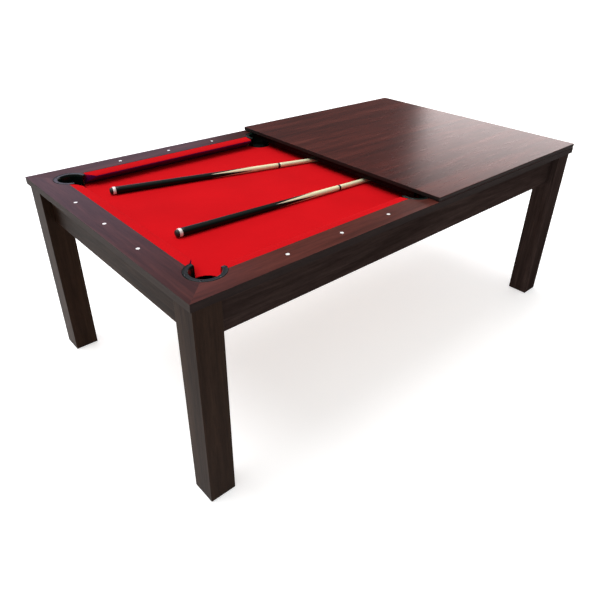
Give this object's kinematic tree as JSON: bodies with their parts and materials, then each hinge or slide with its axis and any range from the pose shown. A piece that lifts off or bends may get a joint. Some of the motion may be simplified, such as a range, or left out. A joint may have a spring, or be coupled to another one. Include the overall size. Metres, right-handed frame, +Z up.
{
  "type": "pool table",
  "caption": "Dining pool table with a cloth bed, drop pockets, a lift-off half dining top and cues lying on the bed.",
  "frame": {"origin": "on the floor at the middle of the table", "axes": "+X along the table's length towards the covered half, -Y the front long side, +Z up"},
  "size_m": [2.14, 1.204, 0.814],
  "materials": {
    "wood_side": "satin dark wenge laminate, vertical or lengthwise grain",
    "wood_rail": "satin dark mahogany laminate with soft sheen",
    "wood_top": "satin dark red-brown laminate, streaky lengthwise grain",
    "raw_wood": "raw fibreboard and softwood",
    "red_cloth": "napped red billiard cloth",
    "pearl": "pearl white inlay",
    "pocket_plastic": "glossy black moulding",
    "basket_plastic": "matte black moulding",
    "foot_plastic": "black rubber pad on a steel screw",
    "brass_insert": "threaded insert",
    "zinc_steel": "zinc plated",
    "black_steel": "blackened screw",
    "black_cleat": "black painted batten",
    "rubber_spacer": "thin rubber disc",
    "cue_rubber": "soft rubber",
    "cue_white": "glossy white plastic",
    "cue_butt": "lacquered black butt with pale spliced points",
    "cue_collar": "black joint ring with steel pin",
    "cue_maple": "lacquered pale maple",
    "cue_leather": "chalked leather"
  },
  "bodies": {
    "table": {"leg_front_left": "wood_side", "leg_front_right": "wood_side", "leg_back_left": "wood_side", "leg_back_right": "wood_side", "leg_inserts": "brass_insert", "apron_front": "wood_side", "apron_back": "wood_side", "apron_left": "wood_side", "apron_right": "wood_side", "corner_brackets": "zinc_steel", "bracket_bolts": "zinc_steel", "rail_bolts": "zinc_steel", "bed_timbers": "raw_wood", "bed_board": "raw_wood", "bed_cloth": "red_cloth", "rail_front": "wood_rail", "rail_back": "wood_rail", "rail_left": "wood_rail", "rail_right": "wood_rail", "rail_sights": "pearl", "cushion_front_left": "red_cloth", "cushion_front_right": "red_cloth", "cushion_back_left": "red_cloth", "cushion_back_right": "red_cloth", "cushion_left": "red_cloth", "cushion_right": "red_cloth", "liner_front_left": "pocket_plastic", "liner_front_right": "pocket_plastic", "liner_back_left": "pocket_plastic", "liner_back_right": "pocket_plastic", "liner_front_side": "pocket_plastic", "liner_back_side": "pocket_plastic", "basket_front_left": "basket_plastic", "basket_front_right": "basket_plastic", "basket_back_left": "basket_plastic", "basket_back_right": "basket_plastic", "basket_front_side": "basket_plastic", "basket_back_side": "basket_plastic", "pocket_screws": "black_steel"},
    "dining_top": {"cover_panel": "wood_top", "cover_cleats": "black_cleat", "cover_spacers": "rubber_spacer"},
    "cue_1": {"cue_1_bumper": "cue_rubber", "cue_1_ring": "cue_white", "cue_1_butt": "cue_butt", "cue_1_collar": "cue_collar", "cue_1_shaft": "cue_maple", "cue_1_ferrule": "cue_white", "cue_1_tip": "cue_leather"},
    "cue_2": {"cue_2_bumper": "cue_rubber", "cue_2_ring": "cue_white", "cue_2_butt": "cue_butt", "cue_2_collar": "cue_collar", "cue_2_shaft": "cue_maple", "cue_2_ferrule": "cue_white", "cue_2_tip": "cue_leather"},
    "foot_front_left": {"foot_front_left": "foot_plastic"},
    "foot_front_right": {"foot_front_right": "foot_plastic"},
    "foot_back_left": {"foot_back_left": "foot_plastic"},
    "foot_back_right": {"foot_back_right": "foot_plastic"}
  },
  "joints": [
    {"name": "top_lift", "type": "slide", "parent": "table", "child": "dining_top", "axis": [0, 0, 1], "range_m": [0, 0.3]},
    {"name": "cue_1_slide", "type": "slide", "parent": "table", "child": "cue_1", "axis": [0.9734, -0.229, 0], "range_m": [-0.055, 0.28]},
    {"name": "cue_2_slide", "type": "slide", "parent": "table", "child": "cue_2", "axis": [0.9985, -0.0541, 0], "range_m": [-0.055, 0.28]},
    {"name": "level_front_left", "type": "slide", "parent": "table", "child": "foot_front_left", "axis": [0, 0, 1], "range_m": [-0.015, 0]},
    {"name": "level_front_right", "type": "slide", "parent": "table", "child": "foot_front_right", "axis": [0, 0, 1], "range_m": [-0.015, 0]},
    {"name": "level_back_left", "type": "slide", "parent": "table", "child": "foot_back_left", "axis": [0, 0, 1], "range_m": [-0.015, 0]},
    {"name": "level_back_right", "type": "slide", "parent": "table", "child": "foot_back_right", "axis": [0, 0, 1], "range_m": [-0.015, 0]}
  ]
}
